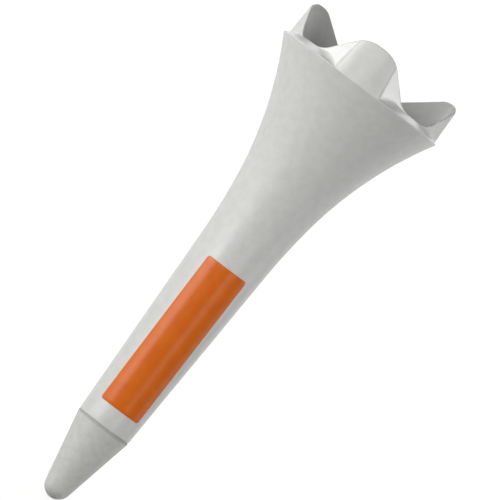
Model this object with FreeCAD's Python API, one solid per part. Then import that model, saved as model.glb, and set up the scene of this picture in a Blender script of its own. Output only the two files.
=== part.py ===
import FreeCAD, Part
import math
import os

# A short three-pronged golf tee, standing on its point with the ball seat up.
# Millimetres, +Z up along the tee's axis, origin at the lowest point of the tip,
# one prong facing -Y. Three pieces: the moulded head and shank, the hard tip that
# plugs into its lower end, and the film of ink printed on the shank.

# overall
LENGTH = 38.1
PRONGS = 3

# crown: an upright collar on the rim of the flare, notched into prongs
RIM_RADIUS = 6.5
CROWN_HEIGHT = 3.0
RIM_LAND = 0.06
BEVEL_ANGLE = 18.5
FLANK_ANGLE = 51.0
STAR_RADIUS_FOOT = 5.36
STAR_RADIUS_TOP = 5.12
NOTCH_FLOOR = 0.48
NOTCH_FLOOR_HALF_WIDTH = 1.0
NOTCH_CORNER_RADIUS = 2.65
NOTCH_SLOPE = 37.6
NOTCH_SHOULDER_RADIUS = 1.0
NOTCH_EDGE_SLOPE = 4.0

# cup inside the crown and the upper flare
CUP_MOUTH_RADIUS = 6.4
CUP_HALF_ANGLE = 24.4
CUP_DEPTH = 7.0

# flare and shank: two tangent arcs below the rim, then a straight taper
RIM_SLOPE = 30.2
FLARE_UPPER_RADIUS = 27.0
FLARE_BREAK_SLOPE = 8.4
FLARE_LOWER_RADIUS = 44.0
SHANK_TAPER = 2.33

# joint between shank and tip
JOINT_HEIGHT = 6.13
JOINT_CHAMFER = 0.07
SPIGOT_RADIUS = 1.15
SPIGOT_LENGTH = 4.0
SPIGOT_CHAMFER = 0.25
GLUE_GAP = 0.02
SOCKET_END_GAP = 0.2

# tip
TIP_END_RADIUS = 1.0

# printed panel
PANEL_BOTTOM = 7.65
PANEL_TOP = 19.85
PANEL_ARC_WIDTH = 3.45
PANEL_CORNER = 0.2
PANEL_TURN = 10.8
INK_THICKNESS = 0.04

# how far cutting shapes reach past the solid that they cut
REACH = 2.0

UP = FreeCAD.Vector(0, 0, 1)
ORIGIN = FreeCAD.Vector(0, 0, 0)
FULL_TURN = 360.0
RIM_HEIGHT = LENGTH - CROWN_HEIGHT


def sine(degrees):
    return math.sin(math.radians(degrees))


def cosine(degrees):
    return math.cos(math.radians(degrees))


def tangent(degrees):
    return math.tan(math.radians(degrees))


def at(radius, height):
    """A point of a half-section in the XZ plane."""
    return FreeCAD.Vector(radius, 0, height)


def line(start, end):
    return Part.LineSegment(start, end).toShape()


def arc(start, middle, end):
    return Part.Arc(start, middle, end).toShape()


def revolve(edges):
    """A closed half-section turned once round the tee's axis."""
    face = Part.Face(Part.Wire(edges))
    return face.revolve(ORIGIN, UP, FULL_TURN)


# The flare's slope, measured from the axis, runs from SHANK_TAPER to FLARE_BREAK_SLOPE along the
# lower arc and on to RIM_SLOPE along the upper one. Both are worked out downwards from the rim.
BREAK_HEIGHT = RIM_HEIGHT - FLARE_UPPER_RADIUS * (sine(RIM_SLOPE) - sine(FLARE_BREAK_SLOPE))
BREAK_RADIUS = RIM_RADIUS - FLARE_UPPER_RADIUS * (cosine(FLARE_BREAK_SLOPE) - cosine(RIM_SLOPE))
FLARE_START_HEIGHT = BREAK_HEIGHT - FLARE_LOWER_RADIUS * (sine(FLARE_BREAK_SLOPE) - sine(SHANK_TAPER))
FLARE_START_RADIUS = BREAK_RADIUS - FLARE_LOWER_RADIUS * (cosine(SHANK_TAPER) - cosine(FLARE_BREAK_SLOPE))


def shank_radius(height):
    """The shank's radius on its straight taper."""
    return FLARE_START_RADIUS - tangent(SHANK_TAPER) * (FLARE_START_HEIGHT - height)


def flare_point(slope, end_slope, end, bend_radius):
    """The point where a flare arc that finishes at end, at end_slope, has the given slope."""
    radius = end.x - bend_radius * (cosine(slope) - cosine(end_slope))
    height = end.z - bend_radius * (sine(end_slope) - sine(slope))
    return at(radius, height)


def flare_arc(start_slope, end_slope, end, bend_radius):
    start = flare_point(start_slope, end_slope, end, bend_radius)
    middle = flare_point((start_slope + end_slope) / 2, end_slope, end, bend_radius)
    return arc(start, middle, end)


def head_blank():
    """The head and shank before the crown is notched and the socket is bored."""
    rim = at(RIM_RADIUS, RIM_HEIGHT)
    flare_break = at(BREAK_RADIUS, BREAK_HEIGHT)
    flare_start = at(FLARE_START_RADIUS, FLARE_START_HEIGHT)
    joint_outer = at(shank_radius(JOINT_HEIGHT + JOINT_CHAMFER), JOINT_HEIGHT + JOINT_CHAMFER)
    joint_inner = at(joint_outer.x - JOINT_CHAMFER, JOINT_HEIGHT)
    crown_top = at(RIM_RADIUS, LENGTH)
    cup_mouth = at(CUP_MOUTH_RADIUS, LENGTH)

    # the cup's floor is a sphere that the conical wall runs into
    wall_at_floor = CUP_MOUTH_RADIUS - CUP_DEPTH * tangent(CUP_HALF_ANGLE)
    floor_radius = wall_at_floor * cosine(CUP_HALF_ANGLE) / (1 - sine(CUP_HALF_ANGLE))
    floor_height = LENGTH - CUP_DEPTH
    floor_centre = floor_height + floor_radius
    cup_floor = at(0, floor_height)
    wall_foot = at(floor_radius * cosine(CUP_HALF_ANGLE), floor_centre - floor_radius * sine(CUP_HALF_ANGLE))
    floor_slope = (CUP_HALF_ANGLE + 90) / 2
    floor_middle = at(floor_radius * cosine(floor_slope), floor_centre - floor_radius * sine(floor_slope))

    edges = [
        line(at(0, JOINT_HEIGHT), joint_inner),
        line(joint_inner, joint_outer),
        line(joint_outer, flare_start),
        flare_arc(SHANK_TAPER, FLARE_BREAK_SLOPE, flare_break, FLARE_LOWER_RADIUS),
        flare_arc(FLARE_BREAK_SLOPE, RIM_SLOPE, rim, FLARE_UPPER_RADIUS),
        line(rim, crown_top),
        line(crown_top, cup_mouth),
        line(cup_mouth, wall_foot),
        arc(wall_foot, floor_middle, cup_floor),
        line(cup_floor, at(0, JOINT_HEIGHT)),
    ]
    return revolve(edges)


def star_outline(inner_radius, height):
    """Plan of the prongs: a circle with flat flanks leaving it as tangents and meeting in points."""
    pitch = FULL_TURN / PRONGS
    valley = pitch / 2
    point_radius = inner_radius / cosine(FLANK_ANGLE)

    def plan(radius, turn):
        # turn 0 faces -Y
        return FreeCAD.Vector(radius * sine(turn), -radius * cosine(turn), height)

    edges = []
    for number in range(PRONGS):
        turn = number * pitch
        point = plan(point_radius, turn)
        flank_end = plan(inner_radius, turn + FLANK_ANGLE)
        valley_middle = plan(inner_radius, turn + valley)
        next_flank = plan(inner_radius, turn + pitch - FLANK_ANGLE)
        next_point = plan(point_radius, turn + pitch)
        edges.append(line(point, flank_end))
        edges.append(arc(flank_end, valley_middle, next_flank))
        edges.append(line(next_flank, next_point))
    return Part.Wire(edges)


def crown_envelope():
    """What the crown keeps: all below a shallow bevel, and above it only the drafted star of prongs."""
    bevel_apex = RIM_HEIGHT + RIM_LAND + RIM_RADIUS * tangent(BEVEL_ANGLE)
    outside = RIM_RADIUS + REACH
    bevel_edge = bevel_apex - outside * tangent(BEVEL_ANGLE)
    below = revolve([
        line(at(0, -REACH), at(outside, -REACH)),
        line(at(outside, -REACH), at(outside, bevel_edge)),
        line(at(outside, bevel_edge), at(0, bevel_apex)),
        line(at(0, bevel_apex), at(0, -REACH)),
    ])
    draft = (STAR_RADIUS_FOOT - STAR_RADIUS_TOP) / CROWN_HEIGHT
    low = star_outline(STAR_RADIUS_FOOT + draft * REACH, RIM_HEIGHT - REACH)
    high = star_outline(STAR_RADIUS_TOP - draft * REACH, LENGTH + REACH)
    prongs = Part.makeLoft([low, high], True, True)
    return below.fuse(prongs)


def notch():
    """One radial notch between two prongs, facing -Y: a flat floor, round corners, sloping flanks and
    round shoulders that are all but level where they meet the prongs' tops."""
    floor = RIM_HEIGHT + NOTCH_FLOOR
    corner_centre_z = floor + NOTCH_CORNER_RADIUS

    def corner(slope):
        return at(
            NOTCH_FLOOR_HALF_WIDTH + NOTCH_CORNER_RADIUS * sine(slope),
            corner_centre_z - NOTCH_CORNER_RADIUS * cosine(slope))

    flank = corner(NOTCH_SLOPE)
    shoulder_centre_z = LENGTH - NOTCH_SHOULDER_RADIUS * cosine(NOTCH_EDGE_SLOPE)
    flank_rise = shoulder_centre_z + NOTCH_SHOULDER_RADIUS * cosine(NOTCH_SLOPE) - flank.z
    flank_end_x = flank.x + flank_rise / tangent(NOTCH_SLOPE)
    shoulder_centre_x = flank_end_x + NOTCH_SHOULDER_RADIUS * sine(NOTCH_SLOPE)

    def shoulder(slope):
        return at(
            shoulder_centre_x - NOTCH_SHOULDER_RADIUS * sine(slope),
            shoulder_centre_z + NOTCH_SHOULDER_RADIUS * cosine(slope))

    def side():
        """From the middle of the floor out and up to above the prongs."""
        return [
            line(at(0, floor), corner(0)),
            arc(corner(0), corner(NOTCH_SLOPE / 2), flank),
            line(flank, shoulder(NOTCH_SLOPE)),
            arc(shoulder(NOTCH_SLOPE), shoulder(NOTCH_SLOPE / 2), shoulder(0)),
            line(shoulder(0), at(shoulder_centre_x, LENGTH + REACH)),
            line(at(shoulder_centre_x, LENGTH + REACH), at(0, LENGTH + REACH)),
        ]

    right = Part.Face(Part.Wire(side() + [line(at(0, LENGTH + REACH), at(0, floor))]))
    outwards = FreeCAD.Vector(0, -(RIM_RADIUS + REACH), 0)
    half = right.extrude(outwards)
    other_half = half.mirror(ORIGIN, FreeCAD.Vector(1, 0, 0))
    return half.fuse(other_half).removeSplitter()


def tip_socket():
    """The blind hole in the shank's lower end that takes the tip's spigot."""
    depth = SPIGOT_LENGTH + SOCKET_END_GAP
    mouth = FreeCAD.Vector(0, 0, JOINT_HEIGHT)
    return Part.makeCylinder(SPIGOT_RADIUS + GLUE_GAP, depth, mouth, UP)


def make_head_and_shank():
    shape = head_blank().common(crown_envelope())
    pitch = FULL_TURN / PRONGS
    for number in range(PRONGS):
        cutter = notch()
        cutter.rotate(ORIGIN, UP, pitch / 2 + number * pitch)
        shape = shape.cut(cutter)
    return shape.cut(tip_socket())


def make_tip():
    """A blunt cone with a round end, and the spigot that holds it in the shank."""
    rim = at(shank_radius(JOINT_HEIGHT), JOINT_HEIGHT - JOINT_CHAMFER)

    # the cone leaves the round end as a tangent and passes through the rim
    centre = at(0, TIP_END_RADIUS)
    to_rim = rim - centre
    half_angle = math.degrees(math.atan2(to_rim.x, to_rim.z) - math.asin(TIP_END_RADIUS / to_rim.Length))
    cone_foot = at(TIP_END_RADIUS * cosine(half_angle), TIP_END_RADIUS * (1 - sine(half_angle)))
    end_slope = (90 + half_angle) / 2
    end_middle = at(TIP_END_RADIUS * cosine(end_slope), TIP_END_RADIUS * (1 - sine(end_slope)))

    spigot_top = JOINT_HEIGHT + SPIGOT_LENGTH
    edges = [
        arc(ORIGIN, end_middle, cone_foot),
        line(cone_foot, rim),
        line(rim, at(rim.x - JOINT_CHAMFER, JOINT_HEIGHT)),
        line(at(rim.x - JOINT_CHAMFER, JOINT_HEIGHT), at(SPIGOT_RADIUS, JOINT_HEIGHT)),
        line(at(SPIGOT_RADIUS, JOINT_HEIGHT), at(SPIGOT_RADIUS, spigot_top - SPIGOT_CHAMFER)),
        line(at(SPIGOT_RADIUS, spigot_top - SPIGOT_CHAMFER), at(SPIGOT_RADIUS - SPIGOT_CHAMFER, spigot_top)),
        line(at(SPIGOT_RADIUS - SPIGOT_CHAMFER, spigot_top), at(0, spigot_top)),
        line(at(0, spigot_top), ORIGIN),
    ]
    return revolve(edges)


def panel_half_width(height):
    """Half the straight-line width of a strip of constant arc width wrapped round the shank."""
    radius = shank_radius(height)
    return radius * math.sin(PANEL_ARC_WIDTH / 2 / radius)


def make_printed_panel():
    """A film of ink: the skin of the shank inside a round-cornered panel."""
    low = at(shank_radius(PANEL_BOTTOM - REACH), PANEL_BOTTOM - REACH)
    high = at(shank_radius(PANEL_TOP + REACH), PANEL_TOP + REACH)
    outwards = at(INK_THICKNESS, 0)
    skin = revolve([
        line(low, low + outwards),
        line(low + outwards, high + outwards),
        line(high + outwards, high),
        line(high, low),
    ])
    bottom = panel_half_width(PANEL_BOTTOM)
    top = panel_half_width(PANEL_TOP)
    outline = Part.makePolygon([
        at(-bottom, PANEL_BOTTOM),
        at(bottom, PANEL_BOTTOM),
        at(top, PANEL_TOP),
        at(-top, PANEL_TOP),
        at(-bottom, PANEL_BOTTOM),
    ])
    stencil = Part.Face(outline).extrude(FreeCAD.Vector(0, -RIM_RADIUS, 0))
    corner_edges = [edge for edge in stencil.Edges if edge.BoundBox.YLength > RIM_RADIUS / 2]
    stencil = stencil.makeFillet(PANEL_CORNER, corner_edges)
    panel = skin.common(stencil)
    panel.rotate(ORIGIN, UP, PANEL_TURN)
    return panel


NODES = {
    "head_and_shank": make_head_and_shank,
    "tip": make_tip,
    "printed_panel": make_printed_panel,
}

os.makedirs("parts", exist_ok=True)
for node, make in NODES.items():
    shape = make()
    if not shape.isValid() or len(shape.Solids) != 1:
        raise ValueError(f"{node} isn't one valid solid")
    shape.Solids[0].exportStep(f"parts/{node}.step")
    box = shape.optimalBoundingBox()
    print(f"{node}: {shape.Volume:.1f} mm3, z {box.ZMin:.2f} to {box.ZMax:.2f}, "
          f"x {box.XMin:.2f} to {box.XMax:.2f}, y {box.YMin:.2f} to {box.YMax:.2f}")
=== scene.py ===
import math

import bpy
import numpy as np
from mathutils import Matrix, Vector


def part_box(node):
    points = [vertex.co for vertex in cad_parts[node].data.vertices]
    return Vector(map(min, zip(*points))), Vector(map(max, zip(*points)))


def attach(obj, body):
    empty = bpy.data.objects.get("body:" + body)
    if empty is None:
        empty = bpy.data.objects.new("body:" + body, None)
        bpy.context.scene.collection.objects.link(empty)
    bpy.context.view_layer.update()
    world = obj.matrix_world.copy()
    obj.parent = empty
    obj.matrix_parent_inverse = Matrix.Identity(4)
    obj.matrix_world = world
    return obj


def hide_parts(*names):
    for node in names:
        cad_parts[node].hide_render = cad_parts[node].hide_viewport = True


# A short three-pronged golf tee standing on its tip: the moulded head and shank, the hard tip
# plugged into its lower end, and the panel of ink printed on the shank.
# Shapes are worked out in millimetres in the frame's axes, and become metres as meshes are made.

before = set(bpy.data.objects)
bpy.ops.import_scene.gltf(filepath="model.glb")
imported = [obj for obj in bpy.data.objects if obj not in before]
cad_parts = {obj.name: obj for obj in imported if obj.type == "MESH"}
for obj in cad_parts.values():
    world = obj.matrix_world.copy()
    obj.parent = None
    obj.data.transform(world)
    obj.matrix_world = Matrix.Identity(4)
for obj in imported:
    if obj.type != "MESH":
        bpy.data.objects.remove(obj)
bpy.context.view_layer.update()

MM = 0.001


def box_mm(node):
    """The lowest and highest corner of a CAD node, in millimetres."""
    low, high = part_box(node)
    return low / MM, high / MM


head_low, head_high = box_mm("head_and_shank")
spigot_end = box_mm("tip")[1]
panel_low, panel_high = box_mm("printed_panel")

# overall, from the frame
LENGTH = head_high.z
RIM_RADIUS = head_high.x
JOINT_HEIGHT = head_low.z
SPIGOT_TOP = spigot_end.z
PANEL_BOTTOM = panel_low.z
PANEL_TOP = panel_high.z

# crown: an upright collar on the rim of the flare, notched into prongs
PRONGS = 3
CROWN_HEIGHT = 3.0
RIM_HEIGHT = LENGTH - CROWN_HEIGHT
RIM_LAND = 0.06
BEVEL_ANGLE = 18.5
FLANK_ANGLE = 51.0
STAR_RADIUS_FOOT = 5.36
STAR_RADIUS_TOP = 5.12
NOTCH_FLOOR = 0.48
NOTCH_FLOOR_HALF_WIDTH = 1.0
NOTCH_CORNER_RADIUS = 2.65
NOTCH_SLOPE = 37.6
NOTCH_SHOULDER_RADIUS = 1.0

# cup inside the crown and the upper flare
CUP_MOUTH_RADIUS = 6.4
CUP_HALF_ANGLE = 24.4
CUP_DEPTH = 7.0

# flare and shank: two tangent arcs below the rim, then a straight taper
RIM_SLOPE = 30.2
FLARE_UPPER_RADIUS = 27.0
FLARE_BREAK_SLOPE = 8.4
FLARE_LOWER_RADIUS = 44.0
SHANK_TAPER = 2.33

# joint between shank and tip: a spigot in a socket that is a little wider and longer
JOINT_CHAMFER = 0.07
SPIGOT_RADIUS = 1.15
SPIGOT_CHAMFER = 0.25
GLUE_GAP = 0.02
SOCKET_END_GAP = 0.2
SOCKET_RADIUS = SPIGOT_RADIUS + GLUE_GAP
SOCKET_TOP = SPIGOT_TOP + SOCKET_END_GAP

# tip
TIP_END_RADIUS = 1.0

# printed panel
PANEL_ARC_WIDTH = 3.45
PANEL_CORNER = 0.2
PANEL_TURN = 10.8
INK_THICKNESS = 0.04

# the small roundings that a mould leaves: on the creases between a prong's face and flanks, where
# the bevel dies out on a prong, on the crown's top edges, at the foot of its walls, and at the joint
CREASE_SOFTNESS = 0.08
BEVEL_SOFTNESS = 0.05
EDGE_ROUND = 0.15
FOOT_ROUND = 0.45
JOINT_ROUND = 0.02

# how finely the meshes follow the shapes
FACE_COLUMNS = 15
FLANK_COLUMNS = 30
CREASE_BUNCHING = 1.6
TIP_COLUMNS = 240
PANEL_LONG_POINTS = 120
PANEL_SHORT_POINTS = 34
PANEL_CORNER_POINTS = 9
PANEL_EDGE_ROWS = 5
PANEL_RINGS = 25
SOLVER_STEPS = 60


def sine(degrees):
    return math.sin(math.radians(degrees))


def cosine(degrees):
    return math.cos(math.radians(degrees))


def tangent(degrees):
    return math.tan(math.radians(degrees))


# ---------------------------------------------------------------- surfaces

# A half-section is an array of rows by columns by (radius, height). Something that is the same all
# round the axis has one column, which numpy stretches to as many as its neighbours have.

# the most that a rounding may take of a side, as a share, so that two on one side never meet
LONGEST_ROUND = 0.45


def place(radius, height):
    """One point of a half-section."""
    return np.array([[[radius, height]]], float)


def arc(centre_radius, centre_height, radius, start, end, steps):
    """Rows along a circular arc: centre + radius (cos, sin) of angles from start to end in degrees."""
    turn = np.radians(np.linspace(start, end, steps))
    rows = [centre_radius + radius * np.cos(turn), centre_height + radius * np.sin(turn)]
    return np.stack(rows, axis=-1)[:, None]


def bend(before, corner, after, rounding, steps=5):
    """A rounded corner: the quadratic curve (1-u)^2 start + 2u(1-u) corner + u^2 end, whose start and
    end lie on the corner's two sides at the rounding's length, or at 0.45 of a shorter side."""
    ends = []
    for side in (before - corner, after - corner):
        share = rounding / np.linalg.norm(side, axis=-1, keepdims=True)
        ends.append(corner + side * np.minimum(share, LONGEST_ROUND))
    start, end = ends
    u = np.linspace(0, 1, steps)[:, None, None]
    return (1 - u) ** 2 * start + 2 * u * (1 - u) * corner + u ** 2 * end


def section(columns, start, *stretches):
    """Rows of a whole half-section: start, then for each (count, curve) a straight stretch of that
    many rows, bunched at its two ends as (1 - cos pi u) / 2, and the curve's own rows."""
    rows = [np.broadcast_to(start, (len(start), columns, 2))]
    for count, curve in stretches:
        curve = np.broadcast_to(curve, (len(curve), columns, 2))
        u = (1 - np.cos(np.pi * np.linspace(0, 1, count + 2)[1:-1])) / 2
        last = rows[-1][-1]
        rows.append(last + u[:, None, None] * (curve[0] - last))
        rows.append(curve)
    return np.concatenate(rows)


def turned(radius, height, azimuth):
    """Points at these radii, heights and azimuths in degrees. Azimuth 0 faces -Y and 90 faces +X."""
    turn = np.radians(azimuth)
    return np.stack(np.broadcast_arrays(radius * np.sin(turn), -radius * np.cos(turn), height), axis=-1)


def closed_surface(name, grid):
    """A closed skin over a grid of points in millimetres, rows by columns by xyz. Columns run once
    round and meet. The first and last row are poles, each one point, joined to its neighbour row by
    triangles. Faces point outwards where rows go up as columns turn counter-clockwise from above."""
    rows, columns = grid.shape[:2]
    points = np.concatenate([grid[1:-1].reshape(-1, 3), grid[0, :1], grid[-1, :1]])
    index = np.arange((rows - 2) * columns).reshape(rows - 2, columns)
    beside = np.roll(index, -1, axis=1)
    quads = np.stack([index[:-1], beside[:-1], beside[1:], index[1:]], axis=-1).reshape(-1, 4)
    first = np.full(columns, index.size)
    last = first + 1
    fans = np.concatenate([
        np.stack([first, beside[0], index[0]], axis=-1),
        np.stack([last, index[-1], beside[-1]], axis=-1),
    ])
    corners = np.concatenate([quads.ravel(), fans.ravel()])
    sizes = np.repeat([4, 3], [len(quads), len(fans)])

    mesh = bpy.data.meshes.new(name)
    mesh.vertices.add(len(points))
    mesh.vertices.foreach_set("co", (points * MM).astype(np.float32).ravel())
    mesh.loops.add(len(corners))
    mesh.loops.foreach_set("vertex_index", corners.astype(np.int32))
    mesh.polygons.add(len(sizes))
    mesh.polygons.foreach_set("loop_start", (np.cumsum(sizes) - sizes).astype(np.int32))
    mesh.polygons.foreach_set("use_smooth", np.ones(len(sizes), bool))
    mesh.update(calc_edges=True)
    mesh.validate()
    piece = bpy.data.objects.new(name, mesh)
    bpy.context.scene.collection.objects.link(piece)
    return piece


# ---------------------------------------------------------------- head and shank

# The flare's slope, measured from the axis, runs from SHANK_TAPER to FLARE_BREAK_SLOPE along the
# lower arc and on to RIM_SLOPE along the upper one. Both are worked out downwards from the rim.
BREAK_HEIGHT = RIM_HEIGHT - FLARE_UPPER_RADIUS * (sine(RIM_SLOPE) - sine(FLARE_BREAK_SLOPE))
BREAK_RADIUS = RIM_RADIUS - FLARE_UPPER_RADIUS * (cosine(FLARE_BREAK_SLOPE) - cosine(RIM_SLOPE))
FLARE_START_HEIGHT = BREAK_HEIGHT - FLARE_LOWER_RADIUS * (sine(FLARE_BREAK_SLOPE) - sine(SHANK_TAPER))
FLARE_START_RADIUS = BREAK_RADIUS - FLARE_LOWER_RADIUS * (cosine(SHANK_TAPER) - cosine(FLARE_BREAK_SLOPE))

PITCH = 360 / PRONGS
DRAFT = (STAR_RADIUS_FOOT - STAR_RADIUS_TOP) / CROWN_HEIGHT


def shank_radius(height):
    """The shank's radius on its straight taper."""
    return FLARE_START_RADIUS - tangent(SHANK_TAPER) * (FLARE_START_HEIGHT - height)


def star_radius(rise):
    """Radius of the crown between two prongs, where their flat flanks start as tangents. It draws in
    with the rise above the rim, as the mould's draft needs."""
    return STAR_RADIUS_FOOT - DRAFT * rise


def column_azimuth(column, rise):
    """Azimuth of a grid column from the middle of its prong. The upright crease between a prong's
    round face and its flat flank is at flank angle - acos(star radius / rim radius), and it leans
    with the rise. Columns 0 to 1 share out the face and columns 1 to 2 the flank."""
    level = np.clip(rise, 0, CROWN_HEIGHT)
    crease = FLANK_ANGLE - np.degrees(np.arccos(star_radius(level) / RIM_RADIUS))
    return np.where(column < 1, column * crease, crease + (column - 1) * (PITCH / 2 - crease))


def crown_radius(azimuth, rise):
    """Radius of the crown's outside: the flank's plane, star radius / cos(azimuth - flank angle), and
    the rim's cylinder, joined by the soft minimum (a + b - sqrt((a - b)^2 + s^2)) / 2."""
    flank = star_radius(rise) / np.cos(np.radians(np.minimum(azimuth - FLANK_ANGLE, 0)))
    return (flank + RIM_RADIUS - np.hypot(flank - RIM_RADIUS, CREASE_SOFTNESS)) / 2


def cup_radius(azimuth, rise):
    """Radius of the cup's conical wall, the same at every azimuth."""
    return CUP_MOUTH_RADIUS - tangent(CUP_HALF_ANGLE) * (CROWN_HEIGHT - rise) + 0 * azimuth


def notch_rise(radius, azimuth):
    """Rise of the notched top edge above the rim. Going across from the middle of a notch it is a flat
    floor, a round corner, a straight flank and a round shoulder that ends level with the top."""
    across = radius * np.sin(np.radians(PITCH / 2 - azimuth))
    turn_rise = 1 - cosine(NOTCH_SLOPE)
    flank_start = NOTCH_FLOOR_HALF_WIDTH + NOTCH_CORNER_RADIUS * sine(NOTCH_SLOPE)
    flank_foot = NOTCH_FLOOR + NOTCH_CORNER_RADIUS * turn_rise
    flank_top = CROWN_HEIGHT - NOTCH_SHOULDER_RADIUS * turn_rise
    flank_end = flank_start + (flank_top - flank_foot) / tangent(NOTCH_SLOPE)
    shoulder_end = flank_end + NOTCH_SHOULDER_RADIUS * sine(NOTCH_SLOPE)
    past_floor = np.clip(across, NOTCH_FLOOR_HALF_WIDTH, flank_start) - NOTCH_FLOOR_HALF_WIDTH
    short_of_top = shoulder_end - np.clip(across, flank_end, shoulder_end)
    corner = NOTCH_FLOOR + NOTCH_CORNER_RADIUS - np.sqrt(NOTCH_CORNER_RADIUS ** 2 - past_floor ** 2)
    flank = flank_foot + (across - flank_start) * tangent(NOTCH_SLOPE)
    shoulder = CROWN_HEIGHT - NOTCH_SHOULDER_RADIUS
    shoulder = shoulder + np.sqrt(NOTCH_SHOULDER_RADIUS ** 2 - short_of_top ** 2)
    return np.where(across < flank_start, corner, np.where(across < flank_end, flank, shoulder))


def crest(column, wall_radius):
    """Where the notched top edge meets a wall of the crown. The rise goes half way to the notch's
    rise at that place again and again, until it stays there."""
    rise = np.full(column.shape, CROWN_HEIGHT / 2)
    for _ in range(SOLVER_STEPS):
        azimuth = column_azimuth(column, rise)
        rise = (rise + notch_rise(wall_radius(azimuth, rise), azimuth)) / 2
    radius = wall_radius(column_azimuth(column, rise), rise)
    return np.stack([radius, RIM_HEIGHT + rise], axis=-1)[None]


def bevel_foot(column):
    """Where the shallow bevel round the rim meets a prong. From the rim's land the bevel climbs
    inwards at the bevel angle; by a prong's face it is sqrt(climb^2 + softness^2), never nothing."""
    rise = np.full(column.shape, RIM_LAND)
    for _ in range(SOLVER_STEPS):
        radius = crown_radius(column_azimuth(column, rise), rise)
        climb = (RIM_RADIUS - radius) * tangent(BEVEL_ANGLE)
        rise = RIM_LAND + np.hypot(climb, BEVEL_SOFTNESS)
    return np.stack([radius, RIM_HEIGHT + rise], axis=-1)[None]


def crown_columns():
    """The grid's columns once round: each column's number, and the azimuth of its prong and the side
    of it that the column is on. They bunch at the crease, column 1, as a power of the distance."""
    face = 1 - np.linspace(1, 0, FACE_COLUMNS + 1)[:-1] ** CREASE_BUNCHING
    flank = 1 + np.linspace(0, 1, FLANK_COLUMNS + 1) ** CREASE_BUNCHING
    half = np.concatenate([face, flank])
    mirrored = half[-2:0:-1]
    number = np.concatenate([half, mirrored])
    side = np.repeat([1, -1], [len(half), len(mirrored)])
    middle = np.where(side > 0, 0, PITCH)
    turns = np.repeat(np.arange(PRONGS) * PITCH, len(number))
    return np.tile(number, PRONGS), np.tile(middle, PRONGS) + turns, np.tile(side, PRONGS)


def flare_arc(start_slope, end_slope, end_radius, end_height, bend_radius, steps):
    """Rows along a flare arc whose slope from the axis grows from start to end, where it reaches the
    given end: an arc about a centre that lies outside the tee."""
    centre_radius = end_radius + bend_radius * cosine(end_slope)
    centre_height = end_height - bend_radius * sine(end_slope)
    return arc(centre_radius, centre_height, bend_radius, 180 - start_slope, 180 - end_slope, steps)


def make_head_and_shank():
    """The moulding: from the end of its socket down and out round the joint face, up the shank and
    flare, round the rim, over the crown's notched edge, and down the cup to the middle of its floor."""
    column, prong, side = crown_columns()

    socket_end = place(0, SOCKET_TOP)
    socket_corner = place(SOCKET_RADIUS, SOCKET_TOP)
    socket_mouth = place(SOCKET_RADIUS, JOINT_HEIGHT)
    joint_outer = place(shank_radius(JOINT_HEIGHT + JOINT_CHAMFER), JOINT_HEIGHT + JOINT_CHAMFER)
    joint_inner = joint_outer - [JOINT_CHAMFER, JOINT_CHAMFER]
    lower_flare = flare_arc(
        SHANK_TAPER, FLARE_BREAK_SLOPE, BREAK_RADIUS, BREAK_HEIGHT, FLARE_LOWER_RADIUS, steps=12)
    upper_flare = flare_arc(
        FLARE_BREAK_SLOPE, RIM_SLOPE, RIM_RADIUS, RIM_HEIGHT, FLARE_UPPER_RADIUS, steps=26)

    rim = place(RIM_RADIUS, RIM_HEIGHT)
    land = place(RIM_RADIUS, RIM_HEIGHT + RIM_LAND)
    foot = bevel_foot(column)
    outer = crest(column, crown_radius)
    inner = crest(column, cup_radius)

    # the cup's floor is a sphere that the conical wall runs into
    wall_at_floor = CUP_MOUTH_RADIUS - CUP_DEPTH * tangent(CUP_HALF_ANGLE)
    floor_radius = wall_at_floor * cosine(CUP_HALF_ANGLE) / (1 - sine(CUP_HALF_ANGLE))
    floor_centre = LENGTH - CUP_DEPTH + floor_radius
    cup_floor = arc(0, floor_centre, floor_radius, -CUP_HALF_ANGLE, -90, steps=14)

    rows = section(
        len(column), socket_end,
        (4, bend(socket_end, socket_corner, socket_mouth, JOINT_ROUND)),
        (8, bend(socket_corner, socket_mouth, joint_inner, JOINT_ROUND)),
        (3, bend(socket_mouth, joint_inner, joint_outer, JOINT_ROUND)),
        (1, bend(joint_inner, joint_outer, lower_flare[:1], JOINT_ROUND)),
        (8, lower_flare),
        (0, upper_flare[1:-1]),
        (0, bend(upper_flare[-2:-1], rim, land, RIM_LAND / 2)),
        (0, bend(rim, land, foot, RIM_LAND / 2)),
        (5, bend(land, foot, outer, FOOT_ROUND, steps=9)),
        (8, bend(foot, outer, inner, EDGE_ROUND)),
        (1, bend(outer, inner, cup_floor[:1], EDGE_ROUND)),
        (8, cup_floor),
    )
    radius, height = np.moveaxis(rows, -1, 0)
    azimuth = prong + side * column_azimuth(column, height - RIM_HEIGHT)
    return closed_surface("head_and_shank_moulding", turned(radius, height, azimuth))


# ---------------------------------------------------------------- tip


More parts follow.
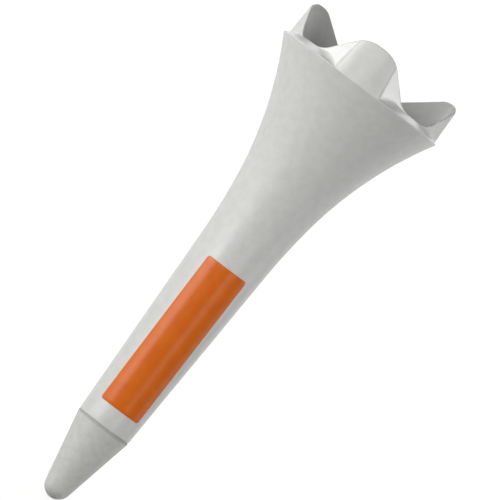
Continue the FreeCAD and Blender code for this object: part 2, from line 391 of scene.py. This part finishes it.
def make_tip():
    """The tip: a round end that a blunt cone leaves as a tangent, the joint face, and the spigot that
    sits in the shank's socket."""
    rim_radius = shank_radius(JOINT_HEIGHT)
    over_centre = JOINT_HEIGHT - JOINT_CHAMFER - TIP_END_RADIUS
    to_rim = math.hypot(rim_radius, over_centre)
    half_angle = math.degrees(math.atan2(rim_radius, over_centre) - math.asin(TIP_END_RADIUS / to_rim))

    round_end = arc(0, TIP_END_RADIUS, TIP_END_RADIUS, -90, -half_angle, steps=16)
    rim = place(rim_radius, JOINT_HEIGHT - JOINT_CHAMFER)
    joint_inner = rim + [-JOINT_CHAMFER, JOINT_CHAMFER]
    spigot_foot = place(SPIGOT_RADIUS, JOINT_HEIGHT)
    spigot_shoulder = place(SPIGOT_RADIUS, SPIGOT_TOP - SPIGOT_CHAMFER)
    spigot_edge = place(SPIGOT_RADIUS - SPIGOT_CHAMFER, SPIGOT_TOP)
    spigot_middle = place(0, SPIGOT_TOP)

    rows = section(
        TIP_COLUMNS, round_end,
        (14, bend(round_end[-1:], rim, joint_inner, JOINT_ROUND)),
        (1, bend(rim, joint_inner, spigot_foot, JOINT_ROUND)),
        (3, bend(joint_inner, spigot_foot, spigot_shoulder, JOINT_ROUND)),
        (8, bend(spigot_foot, spigot_shoulder, spigot_edge, JOINT_ROUND)),
        (2, bend(spigot_shoulder, spigot_edge, spigot_middle, JOINT_ROUND)),
        (4, spigot_middle),
    )
    radius, height = np.moveaxis(rows, -1, 0)
    azimuth = np.arange(TIP_COLUMNS) * 360 / TIP_COLUMNS
    return closed_surface("moulded_tip", turned(radius, height, azimuth))


# ---------------------------------------------------------------- printed panel


def panel_outline(inset):
    """Points round the panel, moved in by the inset, as (distance round the shank, height above the
    panel's middle): quarter circles at the corners, joined by straight sides of even points."""
    radius = PANEL_CORNER - inset
    reach = np.array([PANEL_ARC_WIDTH / 2, (PANEL_TOP - PANEL_BOTTOM) / 2]) - PANEL_CORNER
    corners = np.array([[1, -1], [1, 1], [-1, 1], [-1, -1]]) * reach
    points = []
    for number, side_points in enumerate([PANEL_LONG_POINTS, PANEL_SHORT_POINTS] * 2):
        turn = np.radians(np.linspace(90 * (number - 1), 90 * number, PANEL_CORNER_POINTS))
        quarter = corners[number] + radius * np.stack([np.cos(turn), np.sin(turn)], axis=-1)
        side = corners[(number + 1) % 4] - corners[number]
        along = np.linspace(0, 1, side_points)[1:-1, None]
        points += [quarter, quarter[-1] + along * side]
    return np.concatenate(points)


def make_printed_panel():
    """The film of ink. It lies on the shank's taper, its face at the ink's thickness and its edge an
    ellipse's quarter down to the shank. Inside the edge, rings shrink towards the middle."""
    turn = np.radians(np.linspace(0, 90, PANEL_EDGE_ROWS))
    insets = INK_THICKNESS * (1 - np.cos(turn))
    edge = np.stack([panel_outline(inset) for inset in insets])
    shrink = np.linspace(1, 0, PANEL_RINGS + 1)[1:, None, None]
    back = edge[0] * (1 - shrink)
    face = edge[-1] * shrink
    flat = np.concatenate([np.zeros_like(edge[:1]), back[:-1], edge, face])
    lift = np.zeros(len(flat))
    lift[len(back):len(back) + len(edge)] = INK_THICKNESS * np.sin(turn)
    lift[len(back) + len(edge):] = INK_THICKNESS

    height = flat[..., 1] + (PANEL_TOP + PANEL_BOTTOM) / 2
    azimuth = PANEL_TURN + np.degrees(flat[..., 0] / shank_radius(height))
    return closed_surface("ink_panel", turned(shank_radius(height) + lift[:, None], height, azimuth))


# ---------------------------------------------------------------- materials

# Sizes in millimetres of the features of each finish. The real peel and grain are about a tenth as
# large, too fine to show, so they are drawn coarser. RELIEF is how deep a bump goes.
BODY_CLOUD = 0.6
BODY_PEEL = 0.3
TIP_CLOUD = 0.4
TIP_GRAIN = 0.2
INK_RIPPLE = 0.9
RELIEF = 0.01

# the moulding's roughness at shares of the tee's length: the flare is duller than the rest
BODY_ROUGHNESS = ((0.5, 0.3), (0.7, 0.5), (0.91, 0.5), (0.925, 0.3))

# the share of its brightness that the cup keeps under its painted shade, and how far past its edge the
# painted shade fades
CUP_PAINTED_SHADE = 0.68
CUP_PAINTED_SHADE_FADE = 0.08

# the share of its brightness that the tip keeps in the painted shade below the seam, and how far below
# # the joint the painted shade starts and where it is full
SEAM_PAINTED_SHADE = 0.72
SEAM_SHADE_STARTS = 0.22
SEAM_SHADE_FULL = 0.1


def linear(hex_colour):
    """An sRGB hex colour as linear RGBA."""
    parts = [int(hex_colour[start:start + 2], 16) / 255 for start in (1, 3, 5)]
    return [x / 12.92 if x <= 0.04045 else ((x + 0.055) / 1.055) ** 2.4 for x in parts] + [1.0]


WHITE = linear("#FFFFFF")


def add(tree, kind, settings, links=None):
    """Adds a node. Settings are its properties and its inputs' values, and links are the sockets of
    other nodes that feed its inputs. An input goes by its name, or by its number where several of
    the node's inputs share a name."""
    node = tree.nodes.new(kind)
    for name, value in settings.items():
        if isinstance(name, int) or name in node.inputs:
            node.inputs[name].default_value = value
        else:
            setattr(node, name, value)
    for name, socket in (links or {}).items():
        tree.links.new(socket, node.inputs[name])
    return node


def set_stops(ramp, stops):
    """Gives a colour ramp its stops, each a position and a linear colour, from first to last."""
    elements = ramp.color_ramp.elements
    elements[0].position, elements[0].color = stops[0]
    elements[-1].position, elements[-1].color = stops[-1]
    for position, colour in stops[1:-1]:
        elements.new(position).color = colour


def clouded(tree, where, size, dark, light, spread, detail):
    """Noise with features of about this size in millimetres, and a colour that goes from dark to
    light as the noise goes from the spread below one half to the spread above it."""
    noise = add(tree, "ShaderNodeTexNoise", {"Scale": 1 / (size * MM), "Detail": detail}, {"Vector": where})
    tint = add(tree, "ShaderNodeValToRGB", {}, {"Fac": noise.outputs["Fac"]})
    set_stops(tint, [(0.5 - spread, linear(dark)), (0.5 + spread, linear(light))])
    return noise.outputs["Fac"], tint.outputs["Color"]


def new_material(name):
    """An empty material, its node tree, and the Object coordinates in that tree."""
    material = bpy.data.materials.new(name)
    material.use_nodes = True
    tree = material.node_tree
    tree.nodes.clear()
    return material, tree, add(tree, "ShaderNodeTexCoord", {}).outputs["Object"]


def satin_moulded_abs():
    """White ABS, injection moulded in a fine-blasted mould: a satin skin with faint clouding and a fine
    orange-peel that breaks up its highlights. The shank and the crown shine more than the flare
    between them, and the inside of the cup is darkened with painted shade, standing in for its shade."""
    material, tree, where = new_material("satin_moulded_abs")
    tint = clouded(tree, where, BODY_CLOUD, "#D3D3D0", "#D9D9D6", spread=0.15, detail=4.0)[1]

    # how far a point lies outside the cup's cone: nothing on the cup's wall, and less on its floor
    height = add(tree, "ShaderNodeSeparateXYZ", {}, {"Vector": where}).outputs["Z"]
    cone_apex = LENGTH - CUP_MOUTH_RADIUS / tangent(CUP_HALF_ANGLE)
    cone = add(tree, "ShaderNodeMapRange", {
        "clamp": False,
        "From Min": cone_apex * MM,
        "From Max": LENGTH * MM,
        "To Min": 0.0,
        "To Max": CUP_MOUTH_RADIUS * MM,
    }, {"Value": height})
    level = add(tree, "ShaderNodeVectorMath", {"operation": "MULTIPLY", 1: (1, 1, 0)}, {0: where})
    radius = add(tree, "ShaderNodeVectorMath", {"operation": "LENGTH"}, {0: level.outputs["Vector"]})
    outside = add(tree, "ShaderNodeMath", {"operation": "SUBTRACT"}, {
        0: radius.outputs["Value"],
        1: cone.outputs["Result"],
    })
    # painted shade: the cup's wall and floor are darkened in colour to stand in for the shade inside the cup
    painted_cup_shade = add(tree, "ShaderNodeMapRange", {
        "From Min": 0.0,
        "From Max": CUP_PAINTED_SHADE_FADE * MM,
        "To Min": CUP_PAINTED_SHADE,
        "To Max": 1.0,
    }, {"Value": outside.outputs["Value"]})
    colour = add(tree, "ShaderNodeVectorMath", {"operation": "SCALE"}, {
        "Vector": tint,
        "Scale": painted_cup_shade.outputs["Result"],
    })

    peel = add(tree, "ShaderNodeTexNoise", {"Scale": 1 / (BODY_PEEL * MM), "Detail": 2.0}, {"Vector": where})
    bump = add(tree, "ShaderNodeBump", {"Strength": 0.2, "Distance": RELIEF * MM}, {
        "Height": peel.outputs["Fac"]})
    along = add(tree, "ShaderNodeMapRange", {"From Min": 0.0, "From Max": LENGTH * MM}, {"Value": height})
    rough = add(tree, "ShaderNodeValToRGB", {}, {"Fac": along.outputs["Result"]})
    set_stops(rough, [(share, (value, value, value, 1.0)) for share, value in BODY_ROUGHNESS])
    shader = add(tree, "ShaderNodeBsdfPrincipled", {"IOR": 1.52}, {
        "Base Color": colour.outputs["Vector"],
        "Roughness": rough.outputs["Color"],
        "Normal": bump.outputs["Normal"],
    })
    add(tree, "ShaderNodeOutputMaterial", {}, {"Surface": shader.outputs["BSDF"]})
    return material


def matt_moulded_polymer():
    """The tip's harder polymer, moulded against a blasted surface: duller and a little greyer than the
    shank, with a fine grain. Its top edge, just below the seam, is darkened with painted shade."""
    material, tree, where = new_material("matt_moulded_polymer")
    tint = clouded(tree, where, TIP_CLOUD, "#C8C8C3", "#D0D0CC", spread=0.15, detail=3.0)[1]
    height = add(tree, "ShaderNodeSeparateXYZ", {}, {"Vector": where}).outputs["Z"]
    # painted shade: the tip is darkened just below the joint to stand in for the shade under the shank's
    # shoulder
    painted_seam_shade = add(tree, "ShaderNodeMapRange", {
        "From Min": (JOINT_HEIGHT - SEAM_SHADE_STARTS) * MM,
        "From Max": (JOINT_HEIGHT - SEAM_SHADE_FULL) * MM,
        "To Min": 1.0,
        "To Max": SEAM_PAINTED_SHADE,
    }, {"Value": height})
    colour = add(tree, "ShaderNodeVectorMath", {"operation": "SCALE"}, {
        "Vector": tint,
        "Scale": painted_seam_shade.outputs["Result"],
    })
    grain = add(tree, "ShaderNodeTexNoise", {"Scale": 1 / (TIP_GRAIN * MM), "Detail": 2.0}, {"Vector": where})
    bump = add(tree, "ShaderNodeBump", {"Strength": 0.3, "Distance": RELIEF * MM}, {
        "Height": grain.outputs["Fac"]})
    shader = add(tree, "ShaderNodeBsdfPrincipled", {"IOR": 1.52, "Roughness": 0.55}, {
        "Base Color": colour.outputs["Vector"],
        "Normal": bump.outputs["Normal"],
    })
    add(tree, "ShaderNodeOutputMaterial", {}, {"Surface": shader.outputs["BSDF"]})
    return material


def printed_orange_ink():
    """Orange two-part ink, pad printed and cured: glossy and even, with the slight ripple of a film
    that levelled itself."""
    material, tree, where = new_material("printed_orange_ink")
    ripple, tint = clouded(tree, where, INK_RIPPLE, "#DA6610", "#E06E14", spread=0.2, detail=2.0)
    bump = add(tree, "ShaderNodeBump", {"Strength": 0.15, "Distance": RELIEF * MM}, {"Height": ripple})
    shader = add(tree, "ShaderNodeBsdfPrincipled", {
        "IOR": 1.5,
        "Specular IOR Level": 0.3,
        "Roughness": 0.28,
    }, {
        "Base Color": tint,
        "Normal": bump.outputs["Normal"],
    })
    add(tree, "ShaderNodeOutputMaterial", {}, {"Surface": shader.outputs["BSDF"]})
    return material


# ---------------------------------------------------------------- pieces

for make, finish, node, slot in (
    (make_head_and_shank, satin_moulded_abs, "head_and_shank", "body_plastic"),
    (make_tip, matt_moulded_polymer, "tip", "tip_plastic"),
    (make_printed_panel, printed_orange_ink, "printed_panel", "panel_ink"),
):
    piece = make()
    piece.data.materials.append(finish())
    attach(piece, "root")
    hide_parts(node)


# ---------------------------------------------------------------- camera

# The camera stands a little to the right of a prong and just above the tee's middle. It is rolled,
# so that the tee leans to the right, and it looks at a point beside the shank.
CAMERA_AZIMUTH = 3.3
CAMERA_ELEVATION = 0.9
CAMERA_DISTANCE = 450.0
CAMERA_LENS = 473.4
LEAN = 37.15
AIM_HEIGHT = 21.75
AIM_RIGHT = 0.71


def bearing(azimuth, elevation):
    """The unit vector towards an azimuth, 0 along -Y and 90 along +X, and an elevation."""
    return Vector((
        sine(azimuth) * cosine(elevation),
        -cosine(azimuth) * cosine(elevation),
        sine(elevation),
    ))


def make_camera():
    """The camera looks along its own -Z. Its right and up are turned by the lean."""
    back = bearing(CAMERA_AZIMUTH, CAMERA_ELEVATION)
    level_right = bearing(CAMERA_AZIMUTH + 90, 0)
    level_up = back.cross(level_right)
    right = cosine(LEAN) * level_right + sine(LEAN) * level_up
    up = cosine(LEAN) * level_up - sine(LEAN) * level_right
    aim = Vector((0, 0, AIM_HEIGHT)) + AIM_RIGHT * level_right

    lens = bpy.data.cameras.new("camera")
    lens.lens = CAMERA_LENS
    lens.sensor_width = 36.0
    lens.clip_start = 0.01
    lens.clip_end = 100.0
    camera = bpy.data.objects.new("camera", lens)
    turn = Matrix((right, up, back)).transposed().to_4x4()
    camera.matrix_world = Matrix.Translation((aim + CAMERA_DISTANCE * back) * MM) @ turn
    bpy.context.scene.collection.objects.link(camera)
    bpy.context.scene.camera = camera
    bpy.context.scene.view_settings.view_transform = "Standard"


# ---------------------------------------------------------------- studio

# lights stand this far from the tee's middle, in millimetres
LIGHT_DISTANCE = 300.0

# each light's bearing from the camera's, elevation, width and height in millimetres, and radiance
LIGHTS = {
    "key_softbox": (-43, 7, 140, 180, 7.2),
    "left_softbox": (-70, -8, 110, 130, 2.0),
    "front_softbox": (-8, 8, 110, 90, 3.0),
    "right_strip": (33, 3, 80, 130, 3.2),
    "right_softbox": (88, 5, 140, 200, 1.1),
    "left_edge_light": (-104, 11, 110, 90, 7.0),
    "right_edge_light": (92, 11, 110, 90, 8.4),
    "back_softbox": (180, 24, 240, 90, 1.4),
}

# the floor's half width, and the distances from the tip over which its glow grows, in millimetres
FLOOR_REACH = 8000.0
FLOOR_DIM_WITHIN = 20.0
FLOOR_BRIGHT_BEYOND = 150.0


def softbox(name, azimuth, elevation, width, height, radiance):
    """A rectangular area light aimed at the tee's middle. Its power is radiance times pi times its
    area."""
    data = bpy.data.lights.new(name, "AREA")
    data.shape = "RECTANGLE"
    data.size = width * MM
    data.size_y = height * MM
    data.energy = radiance * math.pi * data.size * data.size_y
    light = bpy.data.objects.new(name, data)
    towards = bearing(CAMERA_AZIMUTH + azimuth, elevation)
    light.location = (Vector((0, 0, LENGTH / 2)) + LIGHT_DISTANCE * towards) * MM
    light.rotation_mode = "QUATERNION"
    light.rotation_quaternion = towards.to_track_quat("Z", "Y")
    bpy.context.scene.collection.objects.link(light)


def make_world():
    """White to the eye. As light it is dim in front of the tee, brighter behind it, where the lit
    backdrop is, and brightest low down behind, where the backdrop runs into the floor."""
    world = bpy.data.worlds.new("studio")
    bpy.context.scene.world = world
    world.use_nodes = True
    tree = world.node_tree
    tree.nodes.clear()

    # a direction's Y is 1 straight behind the tee, and its Z is -1 straight down
    direction = add(tree, "ShaderNodeTexCoord", {}).outputs["Generated"]
    towards = add(tree, "ShaderNodeSeparateXYZ", {}, {"Vector": direction}).outputs
    backdrop_glow = add(tree, "ShaderNodeMapRange", {
        "From Min": 0.3, "From Max": 0.9, "To Min": 0.1, "To Max": 0.95}, {"Value": towards["Y"]})
    low = add(tree, "ShaderNodeMapRange", {
        "From Min": -0.15, "From Max": -0.55, "To Min": 0.0, "To Max": 0.3}, {"Value": towards["Z"]})
    behind = add(tree, "ShaderNodeMapRange", {
        "From Min": 0.0, "From Max": 0.5, "To Min": 0.0, "To Max": 1.0}, {"Value": towards["Y"]})
    glow = add(tree, "ShaderNodeMath", {"operation": "MULTIPLY_ADD"}, {
        0: low.outputs["Result"],
        1: behind.outputs["Result"],
        2: backdrop_glow.outputs["Result"],
    })
    lighting = add(tree, "ShaderNodeBackground", {"Color": WHITE}, {"Strength": glow.outputs["Value"]})
    backdrop = add(tree, "ShaderNodeBackground", {"Color": WHITE, "Strength": 1.05})
    seen = add(tree, "ShaderNodeLightPath", {}).outputs["Is Camera Ray"]
    mix = add(tree, "ShaderNodeMixShader", {}, {
        0: seen,
        1: lighting.outputs["Background"],
        2: backdrop.outputs["Background"],
    })
    add(tree, "ShaderNodeOutputWorld", {}, {"Surface": mix.outputs["Shader"]})


def make_floor():
    """A pale floor at the tip, far larger than any view of the tee. It glows a little, less by the tip,
    so that it is as white as the backdrop and still takes the tee's soft shadow."""
    half = FLOOR_REACH * MM
    mesh = bpy.data.meshes.new("floor")
    corners = [(-half, -half, 0), (half, -half, 0), (half, half, 0), (-half, half, 0)]
    mesh.from_pydata(corners, [], [(0, 1, 2, 3)])
    floor = bpy.data.objects.new("floor", mesh)
    bpy.context.scene.collection.objects.link(floor)
    floor.visible_diffuse = False
    floor.visible_glossy = False
    floor.visible_shadow = False

    material, tree, where = new_material("pale_floor")
    distance = add(tree, "ShaderNodeVectorMath", {"operation": "LENGTH"}, {0: where})
    glow = add(tree, "ShaderNodeMapRange", {
        "From Min": FLOOR_DIM_WITHIN * MM,
        "From Max": FLOOR_BRIGHT_BEYOND * MM,
        "To Min": 0.5,
        "To Max": 0.85,
    }, {"Value": distance.outputs["Value"]})
    shader = add(tree, "ShaderNodeBsdfPrincipled", {
        "Base Color": linear("#F2F2F0"),
        "Roughness": 0.9,
        "Emission Color": WHITE,
    }, {"Emission Strength": glow.outputs["Result"]})
    add(tree, "ShaderNodeOutputMaterial", {}, {"Surface": shader.outputs["BSDF"]})
    mesh.materials.append(material)


make_camera()
make_world()
make_floor()
for light_name, placing in LIGHTS.items():
    softbox(light_name, *placing)
